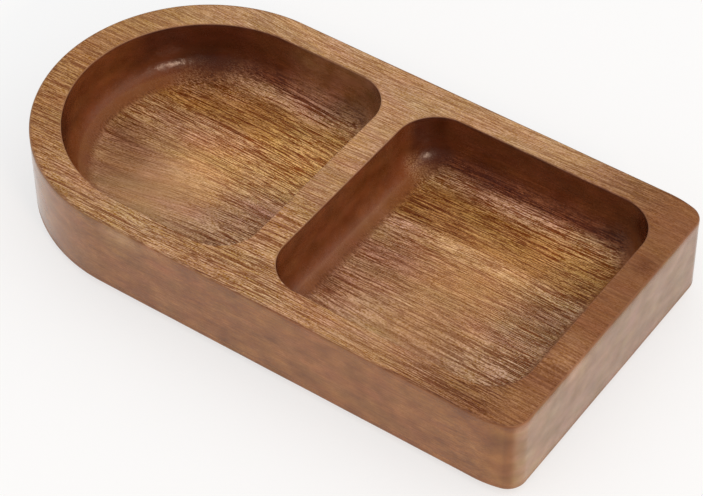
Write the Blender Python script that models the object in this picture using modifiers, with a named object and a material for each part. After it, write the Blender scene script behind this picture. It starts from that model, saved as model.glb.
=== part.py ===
"""Jewelry tray: one block of solid acacia with two milled wells, on four stick-on rubber feet.

Units are metres, +Z is up. The origin is on the surface that the tray stands on, in the middle
of the tray's length and width. The half-round end points to -X and the square end to +X.

The block is a flat outline, extruded and eased along its edges. Each well is cut by one tool
body: the well's outline, extruded, with its lower edge rounded to the radius of the cove cutter.
The feet are small turned buttons that lie just under the block, on a film of adhesive.
"""

import math

import bmesh
import bpy

# Driving dimensions of the wooden block
TRAY_WIDTH = 0.120
BODY_HEIGHT = 0.0315
END_LEAD_RADIUS = 0.0380
END_CORNER_RADIUS = 0.0072
TOP_EDGE_RADIUS = 0.0008
BOTTOM_EDGE_RADIUS = 0.0019

# Walls that are left standing round the wells
RIM_WIDTH = 0.0112
END_RIM_WIDTH = 0.0106
DIVIDER_WIDTH = 0.0112

# Wells: the cove is the round between a well's upright wall and its flat floor
ARCH_WELL_LENGTH = 0.0971
SQUARE_WELL_LENGTH = 0.0966
WELL_DEPTH = 0.0204
WELL_CORNER_RADIUS = 0.0152
COVE_RADIUS = 0.0112
WELL_EDGE_RADIUS = 0.0005

# Stick-on feet
FOOT_DIAMETER = 0.0100
FOOT_HEIGHT = 0.0018
FOOT_EDGE_RADIUS = 0.0005
FOOT_TAPER = 0.0004
FOOT_INSET = 0.0180
ADHESIVE_FILM = 0.0003

# How far a cutting body reaches past the face that it cuts
CUT_OVERRUN = 0.0050

# Places worked out from the dimensions above
WELL_HALF_WIDTH = TRAY_WIDTH / 2 - RIM_WIDTH
BODY_LENGTH = RIM_WIDTH + ARCH_WELL_LENGTH + DIVIDER_WIDTH + SQUARE_WELL_LENGTH + END_RIM_WIDTH
ARCH_CENTRE_X = TRAY_WIDTH / 2 - BODY_LENGTH / 2
BODY_END_X = BODY_LENGTH / 2
ARCH_WELL_END_X = RIM_WIDTH + ARCH_WELL_LENGTH - BODY_LENGTH / 2
SQUARE_WELL_START_X = ARCH_WELL_END_X + DIVIDER_WIDTH
SQUARE_WELL_END_X = BODY_END_X - END_RIM_WIDTH
BODY_BOTTOM_Z = FOOT_HEIGHT + ADHESIVE_FILM
BODY_TOP_Z = BODY_BOTTOM_Z + BODY_HEIGHT
WELL_FLOOR_Z = BODY_TOP_Z - WELL_DEPTH

# Facets: counts, not lengths
HALF_ROUND_FACETS = 48
CORNER_FACETS = 8
LEAD_FACETS = 3
COVE_FACETS = 8
OUTER_EDGE_FACETS = 3
WELL_EDGE_FACETS = 2
FOOT_FACETS = 28

# Angles
RIGHT_ANGLE = math.pi / 2
WELL_EDGE_ANGLE = math.radians(60)
SMOOTH_ANGLE = math.radians(32)
ARCH_FOOT_ANGLE = math.radians(45)
END_LEAD_ANGLE = math.radians(15.5)

MERGE_DISTANCE = 0.00001

ACACIA_COLOUR = (0.33, 0.17, 0.075, 1.0)
RUBBER_COLOUR = (0.045, 0.035, 0.03, 1.0)


def clear_scene():
    """Remove every object that the scene starts with."""
    for obj in list(bpy.data.objects):
        bpy.data.objects.remove(obj, do_unlink=True)


def new_collection(name):
    """Make a collection and hang it under the scene."""
    collection = bpy.data.collections.new(name)
    bpy.context.scene.collection.children.link(collection)
    return collection


def new_material(name, colour, roughness, metallic=0.0):
    """Principled material for one kind of sub-part."""
    material = bpy.data.materials.new(name)
    material.use_nodes = True
    shader = material.node_tree.nodes["Principled BSDF"]
    shader.inputs["Base Color"].default_value = colour
    shader.inputs["Roughness"].default_value = roughness
    shader.inputs["Metallic"].default_value = metallic
    material.diffuse_color = colour
    return material


def arc(centre_x, centre_y, radius, start, end, facets):
    """Points along an arc, both ends included."""
    points = []
    for index in range(facets + 1):
        angle = start + (end - start) * index / facets
        points.append((centre_x + radius * math.cos(angle), centre_y + radius * math.sin(angle)))
    return points


def square_end(end_x, half_width, corner_radius):
    """The two rounded corners of a square end that faces +X, from the -Y corner to the +Y one."""
    centre_x = end_x - corner_radius
    centre_y = half_width - corner_radius
    near = arc(centre_x, -centre_y, corner_radius, -RIGHT_ANGLE, 0, CORNER_FACETS)
    far = arc(centre_x, centre_y, corner_radius, 0, RIGHT_ANGLE, CORNER_FACETS)
    return near + far


def round_end(half_width):
    """Half circle about the arch centre, from the +Y side to the -Y one."""
    return arc(ARCH_CENTRE_X, 0, half_width, RIGHT_ANGLE, 3 * RIGHT_ANGLE, HALF_ROUND_FACETS)


def tray_outline():
    """The block's own outline. Each corner of its square end begins with a long, gentle lead off
    the side, which a tighter arc carries round to the end face."""
    half_width = TRAY_WIDTH / 2
    tangent = END_LEAD_RADIUS - END_CORNER_RADIUS
    corner_x = BODY_END_X - END_CORNER_RADIUS
    lead_x = corner_x - tangent * math.sin(END_LEAD_ANGLE)
    lead_y = half_width - END_LEAD_RADIUS
    corner_y = lead_y + tangent * math.cos(END_LEAD_ANGLE)
    turn = RIGHT_ANGLE - END_LEAD_ANGLE
    lead = arc(lead_x, lead_y, END_LEAD_RADIUS, RIGHT_ANGLE, turn, LEAD_FACETS)
    corner = arc(corner_x, corner_y, END_CORNER_RADIUS, turn, 0, CORNER_FACETS)
    far = list(reversed(lead + corner[1:]))
    near = [(x, -y) for x, y in reversed(far)]
    return round_end(half_width) + near + far


def arch_well_outline():
    """D-shaped well: half circle, straight sides and a square end with two equal corner arcs."""
    return round_end(WELL_HALF_WIDTH) + square_end(
        ARCH_WELL_END_X, WELL_HALF_WIDTH, WELL_CORNER_RADIUS
    )


def rounded_rectangle_outline(start_x, end_x, half_width, corner_radius):
    """Rectangle with four equal corner arcs, running anticlockwise."""
    centre_x = start_x + corner_radius
    centre_y = half_width - corner_radius
    far = arc(centre_x, centre_y, corner_radius, RIGHT_ANGLE, 2 * RIGHT_ANGLE, CORNER_FACETS)
    near = arc(centre_x, -centre_y, corner_radius, 2 * RIGHT_ANGLE, 3 * RIGHT_ANGLE, CORNER_FACETS)
    return far + near + square_end(end_x, half_width, corner_radius)


def extruded_outline(name, outline, bottom_z, top_z, collection):
    """Solid between two heights, from a filled flat curve, as a mesh object."""
    curve = bpy.data.curves.new(name + "_outline", "CURVE")
    curve.dimensions = "2D"
    curve.fill_mode = "BOTH"
    curve.extrude = (top_z - bottom_z) / 2
    spline = curve.splines.new("POLY")
    spline.points.add(len(outline) - 1)
    for point, (x, y) in zip(spline.points, outline):
        point.co = (x, y, 0, 1)
    spline.use_cyclic_u = True
    guide = bpy.data.objects.new(name + "_outline", curve)
    guide.location.z = (bottom_z + top_z) / 2
    collection.objects.link(guide)
    bpy.context.view_layer.update()

    evaluated = guide.evaluated_get(bpy.context.evaluated_depsgraph_get())
    mesh = bpy.data.meshes.new_from_object(evaluated)
    mesh.name = name
    solid = bpy.data.objects.new(name, mesh)
    solid.matrix_world = guide.matrix_world.copy()
    collection.objects.link(solid)
    bpy.data.objects.remove(guide, do_unlink=True)
    weld_and_flatten_caps(mesh)
    return solid


def weld_and_flatten_caps(mesh):
    """Join the caps to the walls, and make each flat cap one face again."""
    shape = bmesh.new()
    shape.from_mesh(mesh)
    bmesh.ops.remove_doubles(shape, verts=shape.verts, dist=MERGE_DISTANCE)
    flat_edges = [
        edge for edge in shape.edges
        if len(edge.link_faces) == 2
        and all(abs(face.normal.z) > math.cos(SMOOTH_ANGLE) for face in edge.link_faces)
    ]
    bmesh.ops.dissolve_edges(shape, edges=flat_edges, use_verts=False)
    bmesh.ops.recalc_face_normals(shape, faces=shape.faces)
    shape.to_mesh(mesh)
    shape.free()


def mark_level(solid, group_name, upper):
    """Put the vertices of the solid's upper or lower rim in a vertex group."""
    group = solid.vertex_groups.new(name=group_name)
    rim = [vertex.index for vertex in solid.data.vertices if (vertex.co.z > 0) == upper]
    group.add(rim, 1.0, "REPLACE")


def ease_edge(solid, name, group_name, radius, facets):
    """Round over the edges whose two ends are both in a vertex group."""
    bevel = solid.modifiers.new(name, "BEVEL")
    bevel.limit_method = "VGROUP"
    bevel.vertex_group = group_name
    bevel.width = radius
    bevel.segments = facets
    bevel.use_clamp_overlap = False


def smooth(solid):
    """Smooth shading, with every real corner kept sharp."""
    solid.data.shade_smooth()
    solid.data.set_sharp_from_angle(angle=SMOOTH_ANGLE)


def well_cutter(name, outline, collection):
    """Tool body of one well: its outline down to the floor, with the cove along the lower edge."""
    cutter = extruded_outline(name, outline, WELL_FLOOR_Z, BODY_TOP_Z + CUT_OVERRUN, collection)
    mark_level(cutter, "floor_edge", upper=False)
    ease_edge(cutter, "cove", "floor_edge", COVE_RADIUS, COVE_FACETS)
    cutter.display_type = "WIRE"
    cutter.hide_render = True
    return cutter


def make_tray_body(parts, cutters, material):
    """Block of acacia: outline, eased outer edges, the two wells and their eased inner edges."""
    outline = tray_outline()
    body = extruded_outline("tray_body", outline, BODY_BOTTOM_Z, BODY_TOP_Z, parts)
    body.data.materials.append(material)
    mark_level(body, "top_edge", upper=True)
    mark_level(body, "bottom_edge", upper=False)
    smooth(body)
    ease_edge(body, "top_round", "top_edge", TOP_EDGE_RADIUS, OUTER_EDGE_FACETS)
    ease_edge(body, "bottom_round", "bottom_edge", BOTTOM_EDGE_RADIUS, OUTER_EDGE_FACETS)

    well_outlines = {
        "arch_well_cutter": arch_well_outline(),
        "square_well_cutter": rounded_rectangle_outline(
            SQUARE_WELL_START_X, SQUARE_WELL_END_X, WELL_HALF_WIDTH, WELL_CORNER_RADIUS
        ),
    }
    for cutter_name, well_outline in well_outlines.items():
        cut = body.modifiers.new(cutter_name, "BOOLEAN")
        cut.operation = "DIFFERENCE"
        cut.solver = "EXACT"
        cut.object = well_cutter(cutter_name, well_outline, cutters)

    well_edge = body.modifiers.new("well_edge_round", "BEVEL")
    well_edge.limit_method = "ANGLE"
    well_edge.angle_limit = WELL_EDGE_ANGLE
    well_edge.width = WELL_EDGE_RADIUS
    well_edge.segments = WELL_EDGE_FACETS
    well_edge.use_clamp_overlap = False
    return body


def foot_profile():
    """Half section of a foot, from the middle of its top to the middle of its underside."""
    top_radius = FOOT_DIAMETER / 2
    bottom_radius = top_radius - FOOT_TAPER
    round_centre_x = bottom_radius - FOOT_EDGE_RADIUS
    lower_edge = arc(
        round_centre_x, FOOT_EDGE_RADIUS, FOOT_EDGE_RADIUS, 0, -RIGHT_ANGLE, OUTER_EDGE_FACETS
    )
    return [(0, FOOT_HEIGHT), (top_radius, FOOT_HEIGHT)] + lower_edge + [(0, 0)]


def make_foot(name, x, y, collection, material):
    """One stick-on foot: a low button, turned about its own axis, slightly tapered."""
    profile = foot_profile()
    mesh = bpy.data.meshes.new(name)
    shape = bmesh.new()
    vertices = [shape.verts.new((radius, 0, height)) for radius, height in profile]
    for upper, lower in zip(vertices, vertices[1:]):
        shape.edges.new((upper, lower))
    shape.to_mesh(mesh)
    shape.free()
    mesh.materials.append(material)

    foot = bpy.data.objects.new(name, mesh)
    foot.location = (x, y, 0)
    collection.objects.link(foot)
    turn = foot.modifiers.new("turned", "SCREW")
    turn.axis = "Z"
    turn.steps = FOOT_FACETS
    turn.render_steps = FOOT_FACETS
    turn.use_merge_vertices = True
    turn.merge_threshold = MERGE_DISTANCE
    turn.use_smooth_shade = True
    return foot


def foot_places():
    """Centre of each foot: two under the arch, two under the square end's corners."""
    reach = TRAY_WIDTH / 2 - FOOT_INSET
    arch_x = ARCH_CENTRE_X - reach * math.cos(ARCH_FOOT_ANGLE)
    arch_y = reach * math.sin(ARCH_FOOT_ANGLE)
    end_x = BODY_END_X - FOOT_INSET
    return {
        "foot_arch_left": (arch_x, -arch_y),
        "foot_arch_right": (arch_x, arch_y),
        "foot_end_left": (end_x, -reach),
        "foot_end_right": (end_x, reach),
    }


def main():
    clear_scene()
    parts = new_collection("jewelry_tray")
    cutters = new_collection("tray_cutters")
    acacia = new_material("oiled_acacia", ACACIA_COLOUR, 0.42)
    rubber = new_material("dark_rubber", RUBBER_COLOUR, 0.75)

    make_tray_body(parts, cutters, acacia)
    for name, (x, y) in foot_places().items():
        make_foot(name, x, y, parts, rubber)
    bpy.context.view_layer.update()


main()
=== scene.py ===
"""Looks of a jewelry tray carved from one board of oiled acacia.

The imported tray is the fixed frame. This script makes the visible block as one closed surface with
both wells, four rubber feet on their film of glue, the wood and rubber finishes, and a pale
studio with the camera.
"""

import math

import bmesh
import bpy
import numpy as np
from mathutils import Matrix, Vector


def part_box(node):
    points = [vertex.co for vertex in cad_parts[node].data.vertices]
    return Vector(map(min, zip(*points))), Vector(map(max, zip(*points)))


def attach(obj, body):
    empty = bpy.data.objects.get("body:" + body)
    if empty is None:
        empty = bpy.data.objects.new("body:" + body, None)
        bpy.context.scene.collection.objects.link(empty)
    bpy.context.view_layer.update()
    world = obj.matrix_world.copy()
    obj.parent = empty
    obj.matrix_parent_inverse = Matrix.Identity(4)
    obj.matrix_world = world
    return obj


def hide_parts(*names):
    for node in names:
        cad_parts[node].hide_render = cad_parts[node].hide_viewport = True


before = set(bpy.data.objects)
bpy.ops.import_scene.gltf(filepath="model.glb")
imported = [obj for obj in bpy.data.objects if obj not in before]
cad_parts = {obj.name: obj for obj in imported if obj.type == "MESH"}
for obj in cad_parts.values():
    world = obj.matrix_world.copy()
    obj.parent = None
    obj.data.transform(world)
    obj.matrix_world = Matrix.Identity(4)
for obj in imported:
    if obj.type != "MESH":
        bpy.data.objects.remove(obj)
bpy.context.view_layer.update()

bl_info = {
    "name": "Carved tray looks",
    "version": (1, 0, 0),
    "blender": (4, 5, 0),
    "location": "3D View > Sidebar > Tray",
    "description": "Makes a carved wooden tray, its feet and a plain studio around the packed frame",
    "category": "Object",
}

MM = 0.001
BODY_NODE = "tray_body"
FOOT_NODES = [name for name in sorted(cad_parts) if name.startswith("foot_")]
BODY_LOW, BODY_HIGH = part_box(BODY_NODE)


def linear(hex_colour):
    """Turns an sRGB hex colour into the linear red, green, blue and alpha that Blender works in."""
    parts = np.array([int(hex_colour[i:i + 2], 16) for i in (1, 3, 5)]) / 255
    low = parts / 12.92
    high = ((parts + 0.055) / 1.055) ** 2.4
    return (*np.where(parts <= 0.04045, low, high).tolist(), 1.0)


def length(name, description, default):
    """A size in metres for a property group."""
    return bpy.props.FloatProperty(
        name=name, description=description, default=default, min=0.0, precision=5,
        subtype="DISTANCE", unit="LENGTH",
    )


def angle(name, description, degrees):
    """An angle for a property group."""
    return bpy.props.FloatProperty(
        name=name, description=description, default=math.radians(degrees), subtype="ANGLE", unit="ROTATION",
    )


def colour(name, description, hex_colour):
    """A colour for a property group."""
    return bpy.props.FloatVectorProperty(
        name=name, description=description, default=linear(hex_colour), size=4, min=0.0, max=1.0,
        subtype="COLOR",
    )


class TraySizes(bpy.types.PropertyGroup):
    """Sizes of the block and its wells that the frame's boxes don't give."""

    rim_width: length("Side rim", "Flat rim along the sides and the arch", 11.2 * MM)
    end_rim_width: length("End rim", "Flat rim at the square end", 10.6 * MM)
    divider_width: length("Divider", "Wood left between the two wells", 11.2 * MM)
    arch_well_length: length("Arch well", "Length of the D-shaped well", 97.1 * MM)
    well_depth: length("Well depth", "From the rim down to the flat floors", 20.4 * MM)
    well_corner_radius: length("Well corners", "Upright corners of the wells, at the rim", 15.2 * MM)
    cove_radius: length("Cove", "Hollow between a well's wall and its floor", 11.2 * MM)
    lip_radius: length("Well lip", "Sanded round where a well meets the rim", 0.5 * MM)
    end_lead_radius: length("End lead", "Long gentle arc that leads off each side", 38.0 * MM)
    end_corner_radius: length("End corners", "Tighter arc from the lead to the end face", 7.2 * MM)
    end_lead_angle: angle("End lead turn", "Turn of the lead before the tighter arc", 15.5)
    top_edge_radius: length("Top edge", "Sanded round along the outer top edge", 0.8 * MM)
    bottom_edge_radius: length("Bottom edge", "Round along the outer bottom edge", 1.9 * MM)
    sanding_depth: length("Sanding", "How far sanding wanders into the wood", 0.09 * MM)


class FootSizes(bpy.types.PropertyGroup):
    """Sizes of the stick-on feet that the frame's boxes don't give."""

    edge_radius: length("Foot edge", "Round along the foot's lower edge", 0.5 * MM)
    taper: length("Foot taper", "How far the side leans in", 0.4 * MM)
    film: length("Glue film", "Clear adhesive between foot and wood", 0.3 * MM)
    dimple_radius: length("Dimple", "Round hollow that the mould leaves", 2.2 * MM)
    dimple_depth: length("Dimple depth", "How deep the mould's hollow is", 0.25 * MM)


class TrayColours(bpy.types.PropertyGroup):
    """Colours of the wood and of the feet."""

    # Pale wood is also painted sheen and highlight: on the arch's side, down the near corner and in specks
    # in the coves
    pale_wood_and_sheen: colour("Pale wood", "Lightest wood between the growth layers", "#cb9b69")
    brown_wood: colour("Brown wood", "Most of the board", "#b58558")
    # Pink wood is also painted light at the foot of the arch well's far cove, where the cove shades the
    # floor
    pink_wood_and_light: colour("Pink wood", "Pinker tint here and there", "#c59069")
    golden_wood: colour("Golden wood", "Golden band in the wells' far floors", "#a26c29")
    # Bright wood is partly painted light: by the arch well's divider it lifts the floor out of the walls'
    # shade
    bright_wood_and_light: colour("Bright wood", "Bright golden patches in both wells", "#e6ac5e")
    red_wood: colour("Red wood", "Reddish heart streak, and worn edges", "#85502f")
    rim_wood: colour("Rim wood", "Paler, greyer wood of the rim", "#cda77c")
    end_rim_wood: colour("End rim", "Darker skin of the rim at the square end", "#8b562f")
    side_wood: colour("Sides", "Sides, where growth layers lie edge on", "#87511a")
    pore: colour("Pores", "What oil-dark pores leave of the wood's colour", "#a06c2a")
    # Besides real stains, this colour darkens the far coves as painted shade and makes darker patches in
    # the far-left coves
    stain_and_shade: colour("Stains", "What stains and burns leave of the wood's colour", "#9a6c30")
    cove_wood: colour("Coves", "Coves, redder where the cutter rubbed", "#80421a")
    # The walls' dark colour is partly burnished wood and partly painted shade
    burnished_shaded_wood: colour("Well walls", "Walls, burnished dark by the cutter", "#4a1c0a")
    # The end grain's greyer tone is partly painted sheen
    end_grain_and_sheen: colour("End faces", "Waxed end grain of the square end", "#8c6e52")
    rubber: colour("Rubber", "The feet", "#26221f")
    film: colour("Glue film", "Clear adhesive, slightly milky", "#d8d2c4")


class StudioSizes(bpy.types.PropertyGroup):
    """Where the camera stands and what it sees with."""

    aim: bpy.props.FloatVectorProperty(
        name="Aim", description="Point in the middle of the picture",
        default=(15.66 * MM, -9.0 * MM, 16.8 * MM), size=3, subtype="TRANSLATION", unit="LENGTH",
    )
    distance: length("Distance", "From the aim to the camera", 936.7 * MM)
    azimuth: angle("Azimuth", "Turn of the camera round the tray, from +X", -54.63)
    elevation: angle("Elevation", "Angle over the floor", 45.75)
    roll: angle("Roll", "Turn of the camera about its own view", -0.45)
    lens: bpy.props.FloatProperty(
        name="Lens", description="Focal length on a 36 mm sensor", default=141.94, min=1.0,
        subtype="DISTANCE_CAMERA", unit="CAMERA",
    )


# Outlines and surfaces

ARCH_STEPS = 128
CORNER_STEPS = 28
LEAD_STEPS = 8
SHORT_STEPS = 22
LONG_STEPS = 54
END_STEPS = 48
DIVIDER_STEPS = [CORNER_STEPS // 2, CORNER_STEPS // 2, END_STEPS, CORNER_STEPS // 2, CORNER_STEPS // 2]


def arc(centre, radius, start, end, steps):
    """Circle run: centre plus radius along a normal that turns evenly from start to end, in degrees."""
    turn = np.radians(np.linspace(start, end, steps, endpoint=False))
    normals = np.stack([np.cos(turn), np.sin(turn)], axis=1)
    return np.asarray(centre) + radius * normals, normals


def straight(start, end, normal, steps):
    """Straight run: an even share of the way from start to end, with one normal all along."""
    share = np.arange(steps)[:, None] / steps
    points = (1 - share) * np.asarray(start) + share * np.asarray(end)
    return points, np.tile(np.asarray(normal, float), (steps, 1))


def straight_runs(points, steps, normal=(0, 0)):
    """Straight runs through the given points, with the given number of steps to each next one."""
    return [straight(a, b, normal, n) for a, b, n in zip(points, points[1:], steps)]


def joined(runs):
    """Joins runs end to end into one closed outline of points and outward normals."""
    points, normals = zip(*runs)
    return np.concatenate(points), np.concatenate(normals)


class Plan:
    """Places in the tray's plan view, worked out once from the frame's box and the sizes."""

    def __init__(self, sizes):
        self.half = BODY_HIGH.y
        self.arch_x = BODY_LOW.x + self.half
        self.end_x = BODY_HIGH.x
        self.lead, self.end_corner = sizes.end_lead_radius, sizes.end_corner_radius
        self.lead_angle = sizes.end_lead_angle
        self.corner_x = self.end_x - self.end_corner
        self.lead_x = self.corner_x - (self.lead - self.end_corner) * math.sin(self.lead_angle)
        self.corner_y = self.half - self.lead + (self.lead - self.end_corner) * math.cos(self.lead_angle)
        self.well_half = self.half - sizes.rim_width
        self.well_corner = sizes.well_corner_radius
        self.well_y = self.well_half - self.well_corner
        self.arch_well_end = BODY_LOW.x + sizes.rim_width + sizes.arch_well_length
        self.arch_well_x = self.arch_well_end - self.well_corner
        self.middle_x = self.arch_well_end + sizes.divider_width / 2
        self.square_start = self.arch_well_end + sizes.divider_width
        self.square_end = self.end_x - sizes.end_rim_width
        self.square_near_x = self.square_start + self.well_corner
        self.square_far_x = self.square_end - self.well_corner


def end_outline(plan, edge):
    """The square end, set in by edge: on each corner a long gentle arc leads off the side, and a tighter
    one carries it round to the straight end face."""
    turn = math.degrees(plan.lead_angle)
    lead_y = plan.half - plan.lead
    lead, tight = plan.lead - edge, plan.end_corner - edge
    end = plan.end_x - edge
    steps = CORNER_STEPS - LEAD_STEPS
    return [
        arc((plan.lead_x, -lead_y), lead, -90, turn - 90, LEAD_STEPS),
        arc((plan.corner_x, -plan.corner_y), tight, turn - 90, 0, steps),
        straight((end, -plan.corner_y), (end, plan.corner_y), (1, 0), END_STEPS),
        arc((plan.corner_x, plan.corner_y), tight, 0, 90 - turn, steps),
        arc((plan.lead_x, lead_y), lead, 90 - turn, 90, LEAD_STEPS),
    ]


def block_outline(plan):
    """The tray's own outline: straight near side, square end with its two corners, far side and arch."""
    stops = [plan.arch_x, plan.arch_well_x, plan.middle_x, plan.square_near_x, plan.lead_x]
    steps = [SHORT_STEPS, CORNER_STEPS // 2, CORNER_STEPS // 2, LONG_STEPS]
    near = [(x, -plan.half) for x in stops]
    far = [(x, plan.half) for x in reversed(stops)]
    return joined([
        *straight_runs(near, steps, (0, -1)),
        *end_outline(plan, 0),
        *straight_runs(far, steps[::-1], (0, 1)),
        arc((plan.arch_x, 0), plan.half, 90, 270, ARCH_STEPS),
    ])


def well_walls(plan, start, corner_x, end, steps):
    """A well's near side, its wall across the end with a round corner at each side, and its far side."""
    y, half, corner = plan.well_y, plan.well_half, plan.well_corner
    return [
        straight((start, -half), (corner_x, -half), (0, -1), steps),
        arc((corner_x, -y), corner, -90, 0, CORNER_STEPS),
        straight((end, -y), (end, y), (1, 0), END_STEPS),
        arc((corner_x, y), corner, 0, 90, CORNER_STEPS),
        straight((corner_x, half), (start, half), (0, 1), steps),
    ]


def arch_well_outline(plan):
    """The D-shaped well: both sides with the wall at the divider between them, then the arch."""
    return joined([
        *well_walls(plan, plan.arch_x, plan.arch_well_x, plan.arch_well_end, SHORT_STEPS),
        arc((plan.arch_x, 0), plan.well_half, 90, 270, ARCH_STEPS),
    ])


def square_well_outline(plan):
    """The square well: both sides with the end's wall between them, then the wall at the divider."""
    left, y, start, corner = plan.square_near_x, plan.well_y, plan.square_start, plan.well_corner
    return joined([
        *well_walls(plan, left, plan.square_far_x, plan.square_end, LONG_STEPS),
        arc((left, y), corner, 90, 180, CORNER_STEPS),
        straight((start, y), (start, -y), (-1, 0), END_STEPS),
        arc((left, -y), corner, 180, 270, CORNER_STEPS),
    ])


def divider_path(plan, x, edge):
    """From the near edge over the divider's middle line to the far edge, with an L at each end."""
    low, middle, y = plan.half - edge, plan.middle_x, plan.well_y
    return [(x, -low), (middle, -low), (middle, -y), (middle, y), (middle, low), (x, low)]


def arch_rim_outline(plan, edge):
    """Outer edge of the flat rim round the D-shaped well, station for station."""
    low = plan.half - edge
    path = [(plan.arch_x, -low), *divider_path(plan, plan.arch_well_x, edge), (plan.arch_x, low)]
    return joined([
        *straight_runs(path, [SHORT_STEPS, *DIVIDER_STEPS, SHORT_STEPS]),
        arc((plan.arch_x, 0), low, 90, 270, ARCH_STEPS),
    ])[0]


def square_rim_outline(plan, edge):
    """Outer edge of the flat rim round the square well, in the same way."""
    low, x = plan.half - edge, plan.square_near_x
    return joined([
        straight((x, -low), (plan.lead_x, -low), (0, -1), LONG_STEPS),
        *end_outline(plan, edge),
        straight((plan.lead_x, low), (x, low), (0, 1), LONG_STEPS),
        *straight_runs(divider_path(plan, x, edge)[::-1], DIVIDER_STEPS),
    ])[0]


def carried(outline, insets, heights):
    """Profile carried along an outline: each point moves in along its own normal by the profile's inset
    and stands at the profile's height. Rows follow the profile and columns follow the outline."""
    points, normals = outline
    flat = points[None] - np.asarray(insets)[:, None, None] * normals[None]
    level = np.broadcast_to(np.asarray(heights)[:, None, None], flat.shape[:2] + (1,))
    return np.concatenate([flat, level], axis=2)


def ruled(inner, outer, shares, height):
    """Flat band between two outlines: each point is a share of the way from the inner to the outer one."""
    share = np.asarray(shares)[:, None, None]
    flat = (1 - share) * inner[None] + share * outer[None]
    return np.concatenate([flat, np.full(flat.shape[:2] + (1,), height)], axis=2)


def filled(ring, centre, rows):
    """Flat face inside a ring: the ring drawn in evenly to one centre point, which closes it."""
    share = np.linspace(1, 0, rows + 1)[:, None, None]
    middle = np.array([*centre, ring[0, 2]])
    return middle + share * (ring[None] - middle)


def quarter(steps):
    """Sine and cosine of evenly turned angles from zero to a right angle, with both ends."""
    turn = np.radians(np.linspace(0, 90, steps + 1))
    return np.sin(turn), np.cos(turn)


EDGE_SUPPORT = 0.12 * MM
WALL_ROWS = 7
SIDE_ROWS = 14
ROUND_STEPS = 6
BOTTOM_STEPS = 8
COVE_STEPS = 24
FLOOR_ROWS = 14
RIM_ROW_SHARES = [0, 0.02, 0.06, 0.12, 0.24, 0.38, 0.5, 0.62, 0.76, 0.88, 0.94, 0.98, 1]


def well_profile(sizes, top):
    """Insets and heights down a well: lip round, upright wall and the quarter circle of the cove."""
    lip, cove = sizes.lip_radius, sizes.cove_radius
    floor = top - sizes.well_depth
    sine, cosine = quarter(ROUND_STEPS)
    lip_inset, lip_height = -lip * (1 - sine), top - lip * (1 - cosine)
    wall_height = np.linspace(top - lip - EDGE_SUPPORT, floor + cove, WALL_ROWS)
    sine, cosine = quarter(COVE_STEPS)
    cove_inset, cove_height = cove * (1 - cosine), floor + cove * (1 - sine)
    insets = np.concatenate([lip_inset, np.zeros(WALL_ROWS), cove_inset[1:], [cove + EDGE_SUPPORT]])
    heights = np.concatenate([lip_height, wall_height, cove_height[1:], [floor]])
    return insets, heights


def shell_profile(sizes, bottom, top):
    """Insets and heights up the outside: bottom round, upright side and top round."""
    low, high = sizes.bottom_edge_radius, sizes.top_edge_radius
    sine, cosine = quarter(BOTTOM_STEPS)
    low_inset, low_height = low * (1 - sine), bottom + low * (1 - cosine)
    side = np.linspace(bottom + low + EDGE_SUPPORT, top - high - EDGE_SUPPORT, SIDE_ROWS)
    sine, cosine = quarter(ROUND_STEPS)
    high_inset, high_height = high * (1 - cosine), top - high * (1 - sine)
    insets = np.concatenate([[low + EDGE_SUPPORT], low_inset, np.zeros(len(side)), high_inset])
    heights = np.concatenate([[bottom], low_height, side, high_height])
    return insets, heights


def closed_grid_faces(rows, columns, first):
    """Corner numbers of the quads of a grid whose last column meets its first."""
    row = np.arange(rows - 1)[:, None] * columns
    here = np.arange(columns)[None]
    after = (here + 1) % columns
    quads = np.stack([row + here, row + after, row + columns + after, row + columns + here], axis=-1)
    return first + quads.reshape(-1, 4)


def placed(name, data):
    """A new object in the scene that holds the data."""
    made = bpy.data.objects.new(name, data)
    bpy.context.scene.collection.objects.link(made)
    return made


def surface_object(name, grids, marks):
    """One closed mesh from several grids. For each attribute, marks holds a value or array per grid."""
    points = np.concatenate([grid.reshape(-1, 3) for grid in grids])
    firsts = np.cumsum([0] + [grid.shape[0] * grid.shape[1] for grid in grids])
    faces = [closed_grid_faces(*grid.shape[:2], first) for grid, first in zip(grids, firsts)]
    mesh = bpy.data.meshes.new(name)
    mesh.from_pydata(points, [], np.concatenate(faces))
    for mark, values in marks.items():
        spread = [np.broadcast_to(value, grid.shape[:2]).ravel() for value, grid in zip(values, grids)]
        layer = mesh.attributes.new(mark, "FLOAT", "POINT")
        layer.data.foreach_set("value", np.concatenate(spread).astype(np.float32))
    weld(mesh)
    return placed(name, mesh)


WELD_DISTANCE = 0.002 * MM


def weld(mesh):
    """Merges the points that neighbouring grids share, closes the poles and points every face outwards."""
    work = bmesh.new()
    work.from_mesh(mesh)
    bmesh.ops.remove_doubles(work, verts=work.verts, dist=WELD_DISTANCE)
    bmesh.ops.recalc_face_normals(work, faces=work.faces)
    open_edges = [edge for edge in work.edges if not edge.is_manifold]
    if open_edges:
        raise RuntimeError(f"{mesh.name} has {len(open_edges)} open edges")
    work.to_mesh(mesh)
    work.free()
    mesh.shade_smooth()


# Length of each wave that hand sanding leaves, and the way it runs in degrees
SANDING_WAVES = [(47 * MM, 20), (33 * MM, 100), (26 * MM, 155), (61 * MM, 62)]


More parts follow.
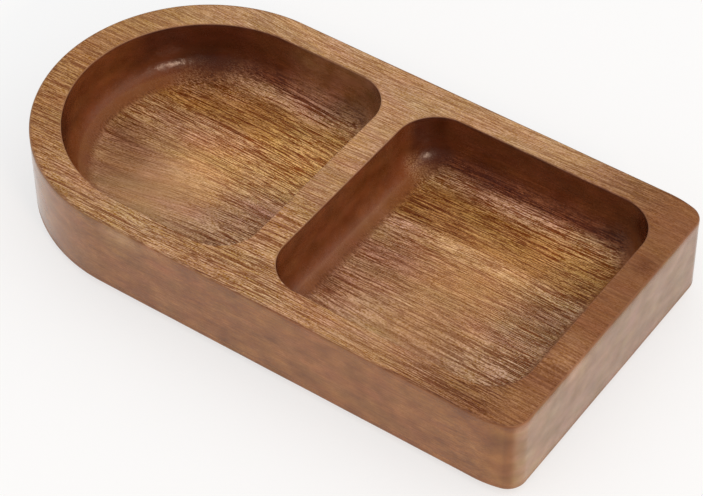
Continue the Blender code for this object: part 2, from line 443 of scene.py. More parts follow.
def sand_by_hand(made, depth):
    """Moves each point inwards along its normal by up to depth: half of one plus the mean of four sine
    waves, each running its own way across the plan and leaning with height."""
    mesh = made.data
    count = len(mesh.vertices)
    points, normals = np.empty(count * 3), np.empty(count * 3)
    mesh.vertices.foreach_get("co", points)
    mesh.vertex_normals.foreach_get("vector", normals)
    points, normals = points.reshape(-1, 3), normals.reshape(-1, 3)
    total = np.zeros(count)
    for number, (wave, degrees) in enumerate(SANDING_WAVES):
        way = math.radians(degrees)
        along = points[:, 0] * math.cos(way) + points[:, 1] * math.sin(way)
        total += np.sin(math.tau * (along + points[:, 2] * (number - 1)) / wave + number)
    inwards = depth * (1 + total / len(SANDING_WAVES)) / 2
    mesh.vertices.foreach_set("co", (points - normals * inwards[:, None]).ravel())
    mesh.update()


def make_block(sizes):
    """The carved block as one closed surface. Its marks change over a lip's round: in_well rises from
    zero to one on the way down, and eased_edge falls to zero one round further down."""
    plan = Plan(sizes)
    bottom, top = BODY_LOW.z, BODY_HIGH.z
    block = block_outline(plan)
    shell = carried(block, *shell_profile(sizes, bottom, top))
    underside = filled(shell[0], (0, 0), FLOOR_ROWS)
    edge = sizes.top_edge_radius
    grids = [underside, shell]
    in_well = [0.0, 0.0]
    eased = [0.0, shell_ease(shell, sizes, bottom, top)]
    square_x = (plan.square_start + plan.square_end) / 2
    wells = [
        (arch_well_outline(plan), arch_rim_outline(plan, edge), (plan.arch_x, 0)),
        (square_well_outline(plan), square_rim_outline(plan, edge), (square_x, 0)),
    ]
    insets, heights = well_profile(sizes, top)
    depths = (top - heights[:, None]) / sizes.lip_radius
    for well, rim, centre in wells:
        walls = carried(well, insets, heights)
        floor = filled(walls[-1], centre, FLOOR_ROWS)
        lip_edge = well[0] + sizes.lip_radius * well[1]
        grids += [ruled(lip_edge, rim, RIM_ROW_SHARES, top), walls, floor]
        in_well += [0.0, np.clip(depths, 0, 1), 1.0]
        eased += [0.0, np.clip(2 - depths, 0, 1), 0.0]
    made = surface_object("tray_block", grids, {"in_well": in_well, "eased_edge": eased})
    sand_by_hand(made, sizes.sanding_depth)
    return made


def shell_ease(shell, sizes, bottom, top):
    """One on the outside's top and bottom rounds and zero between them."""
    heights = shell[:, :1, 2]
    high = np.clip((heights - top) / sizes.top_edge_radius + 2, 0, 1)
    low = np.clip(2 - (heights - bottom) / sizes.bottom_edge_radius, 0, 1)
    return np.maximum(high, low)


FOOT_STEPS = 64
FOOT_ROWS = 2
FILM_ROWS = 2


def make_foot(node, sizes):
    """A turned foot: a circle carries a profile of glue film, leaning side, round edge, flat and dimple.
    The first rows of the profile are the film."""
    low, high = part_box(node)
    centre = ((low.x + high.x) / 2, (low.y + high.y) / 2)
    radius = (high.x - low.x) / 2
    ring = arc(centre, radius, 0, 360, FOOT_STEPS)
    edge, taper, dimple = sizes.edge_radius, sizes.taper, sizes.dimple_radius
    sine, cosine = quarter(ROUND_STEPS)
    insets = np.concatenate([
        [taper, taper, 0, 0], taper + edge * (1 - cosine), radius - dimple * (1 - sine / 2),
    ])
    heights = np.concatenate([
        [high.z + sizes.film, high.z, high.z, high.z - EDGE_SUPPORT],
        low.z + edge * (1 - sine), low.z + sizes.dimple_depth * sine,
    ])
    side = carried(ring, insets, heights)
    grids = [filled(side[0], centre, FOOT_ROWS), side, filled(side[-1], centre, FOOT_ROWS)]
    film = [1.0, np.arange(len(insets))[:, None] < FILM_ROWS, 0.0]
    return surface_object(node.replace("foot", "pad"), grids, {"film": film})


# Materials

# Short names for kinds of node, and options that all of a kind have
MATH, VECTOR, RANGE, SPLIT = "Math", "VectorMath", "MapRange", "SeparateXYZ"
ALWAYS = {RANGE: {"interpolation_type": "SMOOTHSTEP"}}
COLOUR_A, COLOUR_B, COLOUR_OUT = 6, 7, 2


def add(tree, kind, inputs=(), **settings):
    """Adds a node: settings are its own options, and inputs gives each input, by its name or in order,
    the value or the output that feeds it. A node stands for its first output. Ranges are smooth."""
    made = tree.nodes.new("ShaderNode" + kind)
    for name, value in {**ALWAYS.get(kind, {}), **settings}.items():
        setattr(made, name, value)
    pairs = inputs.items() if isinstance(inputs, dict) else enumerate(inputs)
    for key, value in pairs:
        source = value.outputs[0] if isinstance(value, bpy.types.Node) else value
        if isinstance(source, bpy.types.NodeSocket):
            tree.links.new(source, made.inputs[key])
        else:
            made.inputs[key].default_value = source
    return made


def new_material(name):
    """An empty material and its node tree."""
    material = bpy.data.materials.new(name)
    material.use_nodes = True
    material.node_tree.nodes.clear()
    return material, material.node_tree


def finish_material(material, tree, shader):
    """Links the main shader to the material's output."""
    add(tree, "OutputMaterial", {"Surface": shader})
    return material


def object_space(tree):
    """The object's coordinates in millimetres, and its normals."""
    place = add(tree, "TexCoord").outputs
    plain = add(tree, "Mapping", {"Vector": place["Object"], "Scale": (1 / MM,) * 3})
    return plain, place["Normal"]


# An odd turn in radians, so that a noise's rows of cells never line up with the board
NOISE_TURN = (0.5, 0.4, 0.3)


def stretched_noise(tree, space, grain, detail, roughness=0.5):
    """Noise whose features are as long, wide and deep as grain says, in millimetres."""
    scale = tuple(1 / size for size in grain)
    fitted = add(tree, "Mapping", {"Vector": space, "Scale": scale, "Rotation": NOISE_TURN})
    links = {"Vector": fitted, "Scale": 1.0, "Detail": detail, "Roughness": roughness}
    return add(tree, "TexNoise", links)


def either_way(tree, value, *ends):
    """Smooth range of a value's size, whatever its sign: where it starts and stops, and both results."""
    return add(tree, RANGE, [add(tree, MATH, [value], operation="ABSOLUTE"), *ends])


def band_share(tree, value, low, high, soft, full):
    """Smooth share: full between low and high, fading to zero over soft on either side."""
    rising = add(tree, RANGE, [value, low - soft, low, 0.0, full])
    falling = add(tree, RANGE, [value, high + soft, high])
    return product(tree, rising, falling)


def near_point(tree, board, place, reach, here, away=0.0):
    """Smooth share: here at a place in the board and away beyond its reach, in millimetres."""
    far = add(tree, VECTOR, [board.plain, place], operation="DISTANCE")
    return add(tree, RANGE, [far.outputs["Value"], reach, 0.0, away, here])


def product(tree, *values):
    """Values multiplied together."""
    total = values[0]
    for value in values[1:]:
        total = add(tree, MATH, [total, value], operation="MULTIPLY")
    return total


def added_up(tree, start, parts):
    """A value to start from, plus each part times its weight."""
    total = start
    for part, weight in parts:
        total = add(tree, MATH, [part, weight, total], operation="MULTIPLY_ADD")
    return total


def swayed(tree, middle, parts):
    """A middle value, plus each noise's distance from a half times its weight."""
    return added_up(tree, middle - sum(weight for noise, weight in parts) / 2, parts)


def layered(tree, shade, layers, kind="MIX"):
    """A colour with further colours laid over it in turn, each by its own share."""
    for cover, shade_over in layers:
        inputs = {0: cover, COLOUR_A: shade, COLOUR_B: shade_over}
        shade = add(tree, "Mix", inputs, data_type="RGBA", blend_type=kind).outputs[COLOUR_OUT]
    return shade


def swayed_colour(tree, shade, sways):
    """A colour times one plus each noise's distance from a half times its reach, channel by channel. A
    noise's value moves the three channels together, and its colour moves each by itself."""
    for cover, noise, reach in sways:
        lowest = tuple(1 - size / 2 for size in reach)
        near_white = add(tree, VECTOR, [noise, reach, lowest], operation="MULTIPLY_ADD")
        shade = layered(tree, shade, [(cover, near_white)], "MULTIPLY")
    return shade


def moved(tree, space, noise, reach):
    """The space shifted by a noise's colour, centred on zero and stretched to its reach."""
    centred = add(tree, VECTOR, [noise.outputs[1], (0.5,) * 3], operation="SUBTRACT")
    return add(tree, VECTOR, [centred, reach, space], operation="MULTIPLY_ADD")


def scaled_from(tree, value, middle, reach):
    """How far a value lies from a middle, in units of the reach."""
    shift = add(tree, MATH, [value, middle], operation="SUBTRACT")
    return add(tree, MATH, [shift, reach], operation="DIVIDE")


# Features of the wood: length, width and depth in millimetres, how many times finer detail is added, and
# how strongly where that isn't a half. Acacia's fibres are far finer than these, and its pores are about
# 0.2 mm wide: both are drawn just coarse enough to show.
DRIFT = (150, 60, 60), 1.0
RIPPLE = (18, 9, 9), 1.0
BANDS = (190, 9, 12), 3.0, 0.6
TINTS = (45, 9, 12), 2.0
LAYERS = (60, 1.8, 3.0), 3.0, 0.6
BLOTCHES = (24, 11, 11), 2.0
GLINTS = (4.5, 14, 12), 1.0
FIBRES = (10, 0.36, 0.43), 1.0, 0.6
FLECKS = (0.85, 0.36, 0.43), 1.0
MOTTLES = (7, 7, 6), 3.5, 0.55
HUES = (20, 9, 8), 2.0
CUTS = (8, 8, 5), 2.0

# How far the fibres wander along, across and up the board, and how they lean in the arch well's floor
DRIFT_REACH, RIPPLE_REACH = (0, 10, 6), (0, 0.8, 0.6)
LEAN_PLACE, LEAN_REACH, LEAN_WIDTH, LEAN_SLOPE = (-62, -16), 22, 26, 0.22

# Weights of layers, blotches, glints, fibres and flecks in the wood's tone, how far each colour channel
# follows tone, hues and cuts, and the painted light that makes the wells brighter against their shade
TONE_WEIGHTS = (0.1, 0.15, 0.16, 1.3, 1.9)
TONE_REACH, HUE_REACH = (0.8, 1.18, 2.3), (0.16, 0.22, 0.4)
CUT_REACH, CUT_HUE_REACH = (0.8, 1.3, 2.3), (0.2, 0.26, 0.36)
WELL_LIGHT_LIFT = 1.26

# Pores: size, the noise values between which they open, and how dark they are. Then the blotches' pull.
PORES = {
    "short": ((4.0, 0.29, 0.35), 0.57, 0.64, 0.85),
    "long": ((16, 0.3, 0.36), 0.57, 0.64, 1.0),
    "line": ((45, 0.35, 0.43), 0.6, 0.66, 1.0),
}
CROWDING = 0.05

# Noise values between which pale bands, pale specks of painted sheen and pink tints come in, and the tints'
# shares
BAND_VALUES, SHEEN_SPECK_VALUES, TINT_SHARES = (0.36, 0.64), (0.42, 0.62), (0.46, 0.66, 0.0, 0.6)

# Bands across the board in millimetres: where each is full, how softly it fades and its share. Then where
# along or up the board it comes in.
GOLD_BAND, GOLD_HEIGHTS = (20, 34, 6, 0.82), (22, 14)
HEART_BAND, HEART_START = (-5, 3, 7, 0.33), (-5, 40)

# Places along the board between which a tint comes in, with its shares. Then the top's heights.
HONEY_SHARES, END_SHARES = (-72, -106, 0.0, 0.5), (45, 106, 0.0, 0.9)
TOP_HEIGHTS = (20, 31)

# Near and far rim: place across the board, share of paler wood and strength of the grain
RIM_PLACES, RIM_SHARES, RIM_GRAIN = (-50, 50), (0.28, 0.5), (0.88, 0.6)

# Strength of the grain on upright faces and where fibres end, then at both edges of the end's rim
UPRIGHT_GRAIN, ENDWISE_GRAIN, END_RIM_GRAIN = 0.34, 0.1, (97, 106, 1.0, 0.6)

# Values of the normal between which a face counts as upright, as steep, as turned to an end and as the
# square end's face, with the share at both of the waxed end grain, whose greyer tone is partly painted
# sheen
UPRIGHT_VALUES, STEEP_VALUES, ENDWISE_VALUES = (0.9, 0.3), (0.95, 0.5), (0.0, 0.45)
END_FACE_SHARES = (0.55, 0.9, 0.0, 0.8)

# Shares of the sides' warmer wood and of the worn edges
SIDE_SHARE, EDGE_SHARE = 0.9, 0.35

# The square end's corners, whose fibres are cut on the slant: values of the normal where their stain is
# full, how softly it fades and its share
CORNER_BAND = (0.4, 0.6, 0.2, 0.3)

# The cutter's marks in a well and its painted shade: values of the normal where each starts and ends, and
# its share at both
COVE_END_SHARES = (0.0, 0.3, 0.0, 0.8)
COVE_HOLLOW_SHARES = (0.98, 0.76, 0.0, 0.95)
WALL_SHARES = (0.86, 0.1, 0.0, 1.0)
END_WALL_SHARES = (0.85, 0.99, 1.0, 0.48)
FAR_WALL_SHARES = (0.9, 0.99, 1.0, 0.8)
# Painted shade in the far coves: how far the face turns towards the front and how far it looks up
FAR_COVE_SHADE_SIDES = (-0.2, -0.6, 0.0, 0.24)
FAR_COVE_SHADE_SLOPES = (0.15, 0.5, 0.0, 1.0)

# The same by height, the walls being darker towards the top, and the stretch along the board where both are
# paler
WALL_FOOT_SHARES = (21, 30, 0.93, 1.0)
PALER_BAND = (-42, -8, 14, 0.34)

# Stains, darker patches and painted shade in the far coves: the place of each, its reach in millimetres and
# how dark it is
STAINS_AND_SHADE = {
    "knot": ((-86.6, -4.7, 13), 11, 0.5),
    "arch floor": ((-76, -13, 13), 22, 0.6),
    # Painted shade in the arch well's far cove
    "arch far cove shade": ((-67, 44, 20), 17, 0.45),
    # Darker patches in the coves at both wells' far-left corners
    "arch dark cove patch": ((-80, 36, 17), 17, 0.7),
    "square dark cove patch": ((15, 43, 17), 11, 0.75),
    # Painted shade at the foot of the square well's far cove
    "square far side shade": ((34, 44, 14), 18, 0.3),
    "square left floor": ((24, -8, 13), 26, 0.3),
    "square near floor": ((58, -18, 13), 30, 0.28),
    "square corner": ((17.6, -24.4, 13), 9, 0.5),
    "end rim": ((108.7, 25.6, 33), 7, 0.5),
    "near side": ((105, -60, 24), 8, 0.45),
}

# Patches in the coves with pale specks of painted sheen: the place of each, its reach in millimetres and
# its share
SHEEN_SPECK_PATCHES = {
    "arch": ((-80, 29, 13.6), 12, 0.65),
    "arch far": ((-66, 37, 13.4), 13, 0.65),
    "square": ((16, 37, 14), 10, 0.5),
    "square high": ((9.5, 36.5, 16.5), 6, 0.55),
}

# Smoother patches: place, reach in millimetres and how much of the grain is left
SMOOTH_PATCHES = {
    "arch near floor": ((-62, -24, 13), 44, 0.24),
    "square middle floor": ((56, 4, 13), 34, 0.7),
    "square near floor": ((50, -38, 13), 50, 0.4),
}

# Patches of other wood and of painted light, sheen and highlight: the place of each, its reach in
# millimetres, its share and its wood
WOOD_PATCHES = {
    # Painted highlight down the near corner
    "near corner": ((113, -52, 2), 21, 0.3, "pale_wood_and_sheen"),
    "near corner rim": ((107, -47, 33.6), 17, 0.22, "pale_wood_and_sheen"),
    "end rim": ((108, -22, 33.6), 15, 0.35, "pale_wood_and_sheen"),
    # Painted light on the floor by the divider, where the walls shade it
    "arch floor light by the divider": ((-20, 20, 13), 34, 1.0, "bright_wood_and_light"),
    # Painted light at the foot of the far cove, where it lies in shade
    "arch far floor light": ((-36, 44, 14), 13, 0.6, "pink_wood_and_light"),
    "arch floor": ((-48, 2, 13), 30, 0.45, "bright_wood_and_light"),
    "square floor": ((56, 5, 13), 34, 0.35, "bright_wood_and_light"),
    "square floor by the end": ((80, 34, 13), 24, 0.5, "bright_wood_and_light"),
    "near rim": ((-42, -54, 44), 24, 0.6, "rim_wood"),
    # Painted reflection on the arch's side
    "arch side sheen": ((-84, -53, 19), 26, 0.11, "pale_wood_and_sheen"),
}


class Board:
    """Places, directions and features that the wood's colour and its surface share, made only once."""

    def __init__(self, tree):
        self.plain, normal = object_space(tree)
        self.space = board_space(tree, self.plain)
        self.along, self.across, self.height = add(tree, SPLIT, [self.plain]).outputs
        self.endwise, self.sideways, self.upwards = add(tree, SPLIT, [normal]).outputs
        self.in_well = add(tree, "Attribute", attribute_name="in_well").outputs["Fac"]
        self.eased = add(tree, "Attribute", attribute_name="eased_edge").outputs["Fac"]
        self.outside = add(tree, MATH, [1.0, self.in_well], operation="SUBTRACT")
        self.upright = either_way(tree, self.upwards, *UPRIGHT_VALUES)
        self.top_part = add(tree, RANGE, [self.height, *TOP_HEIGHTS])
        features = [stretched_noise(tree, self.space, *feature) for feature in (BLOTCHES, FIBRES, FLECKS)]
        self.blotches, self.fibres, self.flecks = features
        self.mottles = stretched_noise(tree, self.plain, *MOTTLES)
        self.cove, self.wall = cutter_marks(tree, self)
        self.grain = grain_strength(tree, self)
        self.pores = product(tree, pore_share(tree, self), self.grain)


def board_space(tree, plain):
    """The board's own millimetres with the fibres' drift and ripple, and a lean in the arch well's floor:
    an arctangent of the way along shifts the fibres sideways, most in the middle of the lean's width."""
    space = moved(tree, plain, stretched_noise(tree, plain, *DRIFT), DRIFT_REACH)
    space = moved(tree, space, stretched_noise(tree, plain, *RIPPLE), RIPPLE_REACH)
    along, across = add(tree, SPLIT, [plain]).outputs[:2]
    turned = add(tree, MATH, [scaled_from(tree, along, LEAN_PLACE[0], LEAN_REACH)], operation="ARCTANGENT")
    inside = either_way(tree, scaled_from(tree, across, LEAN_PLACE[1], LEAN_WIDTH), 1.0, 0.0)
    sideways = product(tree, turned, inside, -LEAN_SLOPE * LEAN_REACH)
    shift = add(tree, "CombineXYZ", [0.0, sideways])
    return add(tree, VECTOR, [space, shift], operation="ADD")


def pore_share(tree, board):
    """Open pores: thin lengthwise streaks where stretched noises are high, with more in the blotches."""
    raised = swayed(tree, 0.0, [(board.blotches, CROWDING)])
    total = 0.0
    for size, low, high, depth in PORES.values():
        streak = add(tree, MATH, [stretched_noise(tree, board.space, size, 0.0), raised], operation="ADD")
        opened = add(tree, RANGE, [streak, low, high, 0.0, depth])
        total = add(tree, MATH, [total, opened], operation="MAXIMUM")
    return total


def cutter_marks(tree, board):
    """Shares of a well's reddish coves and of its dark walls, which are partly burnished by the cutter and
    partly painted shade. The walls are darkest where they turn and darker towards the top, and coves and
    walls are both paler along the arch well's straight sides."""
    ended = either_way(tree, board.endwise, *COVE_END_SHARES)
    hollow = either_way(tree, board.upwards, *COVE_HOLLOW_SHARES)
    rubbed = add(tree, MATH, [ended, hollow], operation="MAXIMUM")
    kept = add(tree, MATH, [1.0, band_share(tree, board.along, *PALER_BAND)], operation="SUBTRACT")
    # Dark walls, partly painted shade: their share is set by which way they face and by height
    wall = product(
        tree,
        either_way(tree, board.upwards, *WALL_SHARES),
        either_way(tree, board.endwise, *END_WALL_SHARES),
        either_way(tree, board.sideways, *FAR_WALL_SHARES),
        add(tree, RANGE, [board.height, *WALL_FOOT_SHARES]),
        board.in_well,
        kept,
    )
    return product(tree, rubbed, board.in_well, kept), wall


def grain_strength(tree, board):
    """How strongly the grain shows: fully on the floors, less on the rim, little on upright faces, hardly
    at all where the fibres end, and less again in the smoother patches."""
    rim = add(tree, RANGE, [board.across, *RIM_PLACES, *RIM_GRAIN])
    return product(
        tree,
        either_way(tree, board.upwards, *UPRIGHT_VALUES, 1.0, UPRIGHT_GRAIN),
        either_way(tree, board.endwise, *ENDWISE_VALUES, 1.0, ENDWISE_GRAIN),
        add(tree, RANGE, [board.height, *TOP_HEIGHTS, 1.0, rim]),
        add(tree, RANGE, [board.along, *END_RIM_GRAIN]),
        *(near_point(tree, board, *patch, 1.0) for patch in SMOOTH_PATCHES.values()),
    )


def board_colour(tree, board, colours):
    """The board's colour across its growth layers: pale and brown bands with a pinker tint here and
    there, a golden band in the wells' far floors, a faint red heart streak, the rim's paler wood, the
    arch end's honey tone and the darker skin of the square end's rim."""
    across = add(tree, SPLIT, [board.space]).outputs[1]
    band = add(tree, RANGE, [stretched_noise(tree, board.space, *BANDS), *BAND_VALUES])
    tints = stretched_noise(tree, board.space, *TINTS)
    tint = add(tree, RANGE, [tints, *TINT_SHARES])
    low_part = add(tree, RANGE, [board.height, *GOLD_HEIGHTS])
    started = add(tree, RANGE, [board.along, *HEART_START])
    rim = add(tree, RANGE, [board.across, *RIM_PLACES, *RIM_SHARES])
    honey = add(tree, RANGE, [board.along, *HONEY_SHARES])
    end = add(tree, RANGE, [board.along, *END_SHARES])
    return layered(tree, colours.brown_wood, [
        (band, colours.pale_wood_and_sheen),
        (tint, colours.pink_wood_and_light),
        (product(tree, band_share(tree, across, *GOLD_BAND), low_part), colours.golden_wood),
        (product(tree, band_share(tree, across, *HEART_BAND), started), colours.red_wood),
        (product(tree, rim, board.top_part), colours.rim_wood),
        (honey, colours.golden_wood),
        (product(tree, end, board.top_part), colours.end_rim_wood),
    ])


def worked_colour(tree, board, colours):
    """The board's colour once it is worked: side grain outside, end grain partly painted sheen, patches of
    other wood and of painted light, sheen and highlight, worn edges, the cutter's marks in the wells with
    dark walls that are partly painted shade, and pale specks of painted sheen in the coves."""
    end_face = add(tree, RANGE, [board.endwise, *END_FACE_SHARES])
    # Pale specks of painted sheen in the coves
    sheen_specks = add(tree, RANGE, [board.flecks, *SHEEN_SPECK_VALUES])
    woods = WOOD_PATCHES.values()
    patches = [(near_point(tree, board, *patch), getattr(colours, wood)) for *patch, wood in woods]
    specks = [
        (product(tree, near_point(tree, board, *patch), sheen_specks, board.in_well), colours.pale_wood_and_sheen)
        for patch in SHEEN_SPECK_PATCHES.values()
    ]
    return layered(tree, board_colour(tree, board, colours), [
        (product(tree, board.upright, board.outside, SIDE_SHARE), colours.side_wood),
        # End grain, partly painted sheen
        (product(tree, end_face, board.outside), colours.end_grain_and_sheen),
        *patches,
        (product(tree, board.eased, EDGE_SHARE), colours.red_wood),
        (board.cove, colours.cove_wood),
        # Dark walls: burnished wood and painted shade
        (board.wall, colours.burnished_shaded_wood),
        *specks,
    ])


def grained_colour(tree, board, colours):
    """The worked colour with its grain: it is multiplied by the tone of layers, blotches, glints, fibres
    and flecks, lifted by painted light in the wells, by the mottling of steep faces, by the dark of pores
    and stains, and by painted shade in the far coves."""
    layers = stretched_noise(tree, board.space, *LAYERS)
    glints = stretched_noise(tree, board.space, *GLINTS)
    features = [layers, board.blotches, glints, board.fibres, board.flecks]
    tone = swayed(tree, 1.0, list(zip(features, TONE_WEIGHTS)))
    # Painted light: the wells' wood is made brighter against the shade in them
    tone = product(tree, tone, add(tree, RANGE, [board.in_well, 0.0, 1.0, 1.0, WELL_LIGHT_LIFT]))
    left_over = tuple(1 - reach for reach in TONE_REACH)
    spread = add(tree, VECTOR, [tone, TONE_REACH, left_over], operation="MULTIPLY_ADD")
    steep = add(tree, RANGE, [board.upwards, *STEEP_VALUES])
    hues = stretched_noise(tree, board.space, *HUES)
    cuts = stretched_noise(tree, board.plain, *CUTS)
    slanted = product(tree, band_share(tree, board.endwise, *CORNER_BAND), board.upright, board.outside)
    # Painted shade in the far coves
    far_side = add(tree, RANGE, [board.sideways, *FAR_COVE_SHADE_SIDES])
    far_cove_shade = product(tree, board.cove, far_side, either_way(tree, board.upwards, *FAR_COVE_SHADE_SLOPES))
    shade = layered(tree, worked_colour(tree, board, colours), [(board.grain, spread)], "MULTIPLY")
    shade = swayed_colour(tree, shade, [
        (1.0, hues.outputs[1], HUE_REACH),
        (steep, cuts.outputs[0], CUT_REACH),
        (steep, cuts.outputs[1], CUT_HUE_REACH),
    ])
    return layered(tree, shade, [
        (board.pores, colours.pore),
        (slanted, colours.stain_and_shade),
        (far_cove_shade, colours.stain_and_shade),
        *((near_point(tree, board, *stain_and_shade), colours.stain_and_shade) for stain_and_shade in STAINS_AND_SHADE.values()),
    ], "MULTIPLY")


# Roughness of the flat wood, and how much fibres, mottles and flecks vary it. Then what sanded edges add,
# what wax takes off the sides and the cutter's rubbing off the coves.
SATIN_ROUGHNESS, FIBRE_ROUGHNESS, MOTTLE_ROUGHNESS, FLECK_ROUGHNESS = 0.3, 0.1, 0.3, 0.15
EASED_ROUGHNESS, WAXED_ROUGHNESS, RUBBED_ROUGHNESS = 0.3, -0.14, -0.05
WOOD_IOR = 1.5

# Depth of the grain's relief, how much pores and cutter marks count in it, and depth of the mottles
GRAIN_RELIEF, PORE_RELIEF, CUT_RELIEF = 0.012 * MM, -3.0, 2.5
MOTTLE_RELIEF = 0.3 * MM


def wood_roughness(tree, board):
    """Satin, varied by fibres, mottles and flecks: duller on edges, smoother on sides and in coves."""
    satin = swayed(tree, SATIN_ROUGHNESS, [
        (board.fibres, FIBRE_ROUGHNESS),
        (board.mottles, MOTTLE_ROUGHNESS),
        (board.flecks, FLECK_ROUGHNESS),
    ])
    return added_up(tree, satin, [
        (board.eased, EASED_ROUGHNESS),
        (product(tree, board.upright, board.outside), WAXED_ROUGHNESS),
        (board.cove, RUBBED_ROUGHNESS),
    ])


def wood_relief(tree, board):
    """Raised fibres, sunken pores and the cutter's ridges, over the shallow unevenness of the wells."""
    grain = added_up(tree, product(tree, board.fibres, board.grain), [
        (board.pores, PORE_RELIEF),
        (product(tree, board.flecks, board.cove), CUT_RELIEF),
    ])
    dents = product(tree, board.mottles, board.in_well)
    fine = add(tree, "Bump", {"Strength": 1.0, "Distance": GRAIN_RELIEF, "Height": grain})
    coarse = {"Strength": 1.0, "Distance": MOTTLE_RELIEF, "Height": dents, "Normal": fine}
    return add(tree, "Bump", coarse)


def wood_material(colours):
    """Oiled acacia, milled, sanded and waxed: satin lengthwise grain with open dark pores on the flat
    faces, smoother and redder wood in the wells' coves, dark walls that are partly burnished and partly
    painted shade, painted light on the wells' floors, painted sheen in the coves and on the ends, painted
    shade in the far coves, and hardly any streaks where the fibres end."""
    material, tree = new_material("oiled_sanded_acacia")
    board = Board(tree)
    shader = add(tree, "BsdfPrincipled", {
        "Base Color": grained_colour(tree, board, colours),
        "Roughness": wood_roughness(tree, board),
        "IOR": WOOD_IOR,
        "Normal": wood_relief(tree, board),
    })
    return finish_material(material, tree, shader)


# The mould's grain on the rubber: size in millimetres and detail, weight in the tone, and relief
GRIT, GRIT_WEIGHT = ((0.35, 0.35, 0.35), 2.0), 0.45
GRIT_RELIEF, GRIT_STRENGTH = 0.03 * MM, 0.5
RUBBER_ROUGHNESS, RUBBER_IOR = 0.75, 1.52


def rubber_material(colours):
    """Moulded rubber on a film of clear glue: matt and dark, with a fine grain from the mould."""
    material, tree = new_material("moulded_rubber")
    grit = stretched_noise(tree, object_space(tree)[0], *GRIT)
    film = add(tree, "Attribute", attribute_name="film").outputs["Fac"]
    worn = swayed(tree, 1.0, [(grit, GRIT_WEIGHT)])
    shade = add(tree, VECTOR, {0: colours.rubber[:3], "Scale": worn}, operation="SCALE")
    bump = {"Strength": GRIT_STRENGTH, "Distance": GRIT_RELIEF, "Height": grit}
    shader = add(tree, "BsdfPrincipled", {
        "Base Color": layered(tree, shade, [(film, colours.film)]),
        "Roughness": RUBBER_ROUGHNESS,
        "IOR": RUBBER_IOR,
        "Normal": add(tree, "Bump", bump),
    })
    return finish_material(material, tree, shader)


# Colour of the paper, and share of plain white in what the camera and mirror-like faces see of it
PAPER_COLOUR, PAPER_GLOW = "#f7f7f7", 0.6


def floor_material():
    """Matt paper sweep, partly plain white to the camera, so that it stays pale and keeps the shadow."""
    material, tree = new_material("white_paper")
    paper = add(tree, "BsdfDiffuse", {"Color": linear(PAPER_COLOUR)})
    glow = add(tree, "Emission", {"Color": (1.0,) * 4, "Strength": 1.0})
    rays = add(tree, "LightPath")
    seen = 0.0
    for ray in ("Is Camera Ray", "Is Glossy Ray", "Is Transmission Ray"):
        seen = add(tree, MATH, [seen, rays.outputs[ray]], operation="MAXIMUM")
    both = add(tree, "MixShader", [product(tree, seen, PAPER_GLOW), paper, glow])
    return finish_material(material, tree, both)


# Studio

# Reach of the floor in metres, then strength of the surroundings as light and as the wood mirrors them
FLOOR_REACH = 4.0
WORLD_STRENGTH, MIRRORED_STRENGTH = 0.88, 0.1

# Softboxes: azimuth and elevation in degrees, distance, width and height in metres, radiance and tint
SOFTBOXES = {
    "side_softbox": (14, 40, 1.6, 2.6, 0.6, 0.52, "#fff4e8"),
    "spark_softbox": (-29, 29, 1.4, 0.25, 0.11, 48.0, "#ffdcc0"),
}


def make_floor():
    """A wide flat sheet at the height that the feet stand on."""
    mesh = bpy.data.meshes.new("paper_floor")
    corners = [(FLOOR_REACH * x, FLOOR_REACH * y, 0) for x, y in [(-1, -1), (1, -1), (1, 1), (-1, 1)]]
    mesh.from_pydata(corners, [], [(0, 1, 2, 3)])
    mesh.materials.append(floor_material())
    made = placed("paper_floor", mesh)


def facing_aim(azimuth, elevation, distance, aim):
    """Pose that faces the aim from a distance, in the direction that the two angles give."""
    flat = math.cos(elevation)
    back = Vector((flat * math.cos(azimuth), flat * math.sin(azimuth), math.sin(elevation)))
    turn = back.to_track_quat("Z", "Y").to_matrix().to_4x4()
    return Matrix.Translation(Vector(aim) + distance * back) @ turn


def make_softbox(name, azimuth, elevation, distance, width, height, radiance, tint, aim):
    """A rectangular lamp that faces the aim. Its power is its radiance times its area times pi."""
    lamp = bpy.data.lights.new(name, "AREA")
    lamp.shape = "RECTANGLE"
    lamp.color = linear(tint)[:3]
    lamp.size = width
    lamp.size_y = height
    lamp.energy = radiance * width * height * math.pi
    made = placed(name, lamp)
    made.matrix_world = facing_aim(math.radians(azimuth), math.radians(elevation), distance, aim)


def make_world():
    """Even surroundings, white for the camera and dimmer as light, so that with the softboxes a colour
    renders about as it is written."""
    world = bpy.data.worlds.new("white_studio")
    bpy.context.scene.world = world
    world.use_nodes = True
    tree = world.node_tree
    tree.nodes.clear()
    rays = add(tree, "LightPath")
    mirrored = rays.outputs["Is Glossy Ray"]
    dimmed = add(tree, RANGE, [mirrored, 0.0, 1.0, WORLD_STRENGTH, MIRRORED_STRENGTH])
    strength = add(tree, MATH, [rays.outputs["Is Camera Ray"], dimmed], operation="MAXIMUM")
    white = add(tree, "Background", {"Color": (1.0,) * 4, "Strength": strength})
    add(tree, "OutputWorld", {"Surface": white})


SENSOR_WIDTH = 36.0
CLIP_START = 0.01


def make_camera(studio):
    """The camera at the photograph's angle, looking back at the aim."""
    data = bpy.data.cameras.new("tray_camera")
    data.lens = studio.lens
    data.sensor_width = SENSOR_WIDTH
    data.clip_start = CLIP_START
    made = placed("tray_camera", data)
    pose = facing_aim(studio.azimuth, studio.elevation, studio.distance, studio.aim)
    made.matrix_world = pose @ Matrix.Rotation(studio.roll, 4, "Z")
    bpy.context.scene.camera = made


# Operators and panel


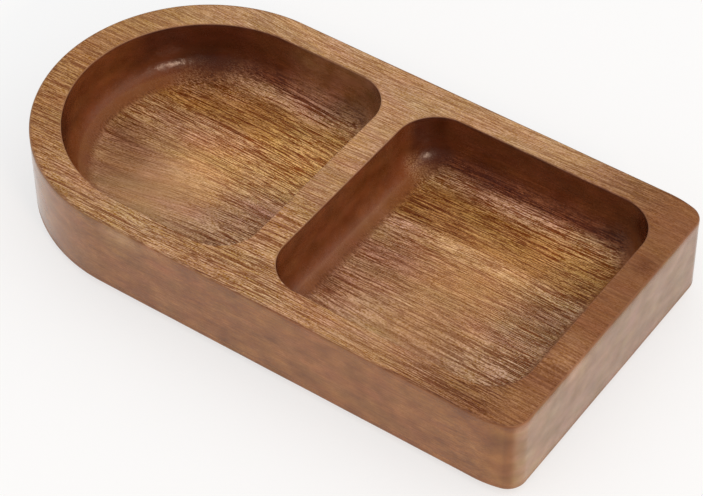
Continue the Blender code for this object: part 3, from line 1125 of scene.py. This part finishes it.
class TRAY_OT_make_block(bpy.types.Operator):
    """Make the carved block with its two wells, in oiled acacia"""

    bl_idname = "tray.make_block"
    bl_label = "Make block"

    def execute(self, context):
        scene = context.scene
        block = make_block(scene.tray_sizes)
        block.data.materials.append(wood_material(scene.tray_colours))
        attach(block, "root")
        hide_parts(BODY_NODE)
        return {"FINISHED"}


class TRAY_OT_make_feet(bpy.types.Operator):
    """Make the four rubber feet under the block"""

    bl_idname = "tray.make_feet"
    bl_label = "Make feet"

    def execute(self, context):
        scene = context.scene
        rubber = rubber_material(scene.tray_colours)
        for node in FOOT_NODES:
            foot = make_foot(node, scene.foot_sizes)
            foot.data.materials.append(rubber)
            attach(foot, "root")
            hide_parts(node)
        return {"FINISHED"}


class TRAY_OT_make_stage(bpy.types.Operator):
    """Make the pale floor, the soft light and the camera"""

    bl_idname = "tray.make_stage"
    bl_label = "Make stage"

    def execute(self, context):
        studio = context.scene.tray_studio
        make_floor()
        make_world()
        for name, settings in SOFTBOXES.items():
            make_softbox(name, *settings, studio.aim)
        make_camera(studio)
        context.scene.view_settings.view_transform = "Standard"
        return {"FINISHED"}


class TRAY_PT_looks(bpy.types.Panel):
    """Lists the tray's sizes and colours and the steps that make it"""

    bl_idname = "TRAY_PT_looks"
    bl_label = "Carved tray"
    bl_space_type = "VIEW_3D"
    bl_region_type = "UI"
    bl_category = "Tray"

    def draw(self, context):
        for operator in OPERATORS:
            self.layout.operator(operator.bl_idname)
        for group in SETTINGS:
            box = self.layout.box()
            values = getattr(context.scene, group)
            for name in values.bl_rna.properties.keys():
                if name not in ("rna_type", "name"):
                    box.prop(values, name)


OPERATORS = [TRAY_OT_make_block, TRAY_OT_make_feet, TRAY_OT_make_stage]
SETTINGS = {
    "tray_sizes": TraySizes,
    "foot_sizes": FootSizes,
    "tray_colours": TrayColours,
    "tray_studio": StudioSizes,
}


def register():
    """Makes the property groups, operators and panel known to Blender."""
    for kind in [*SETTINGS.values(), *OPERATORS, TRAY_PT_looks]:
        bpy.utils.register_class(kind)
    for name, kind in SETTINGS.items():
        setattr(bpy.types.Scene, name, bpy.props.PointerProperty(type=kind))


def unregister():
    """Takes them away again, in the opposite order."""
    for name in SETTINGS:
        delattr(bpy.types.Scene, name)
    for kind in reversed([*SETTINGS.values(), *OPERATORS, TRAY_PT_looks]):
        bpy.utils.unregister_class(kind)


def main():
    """Makes everything in order."""
    register()
    bpy.ops.tray.make_block()
    bpy.ops.tray.make_feet()
    bpy.ops.tray.make_stage()


if __name__ == "__main__":
    main()
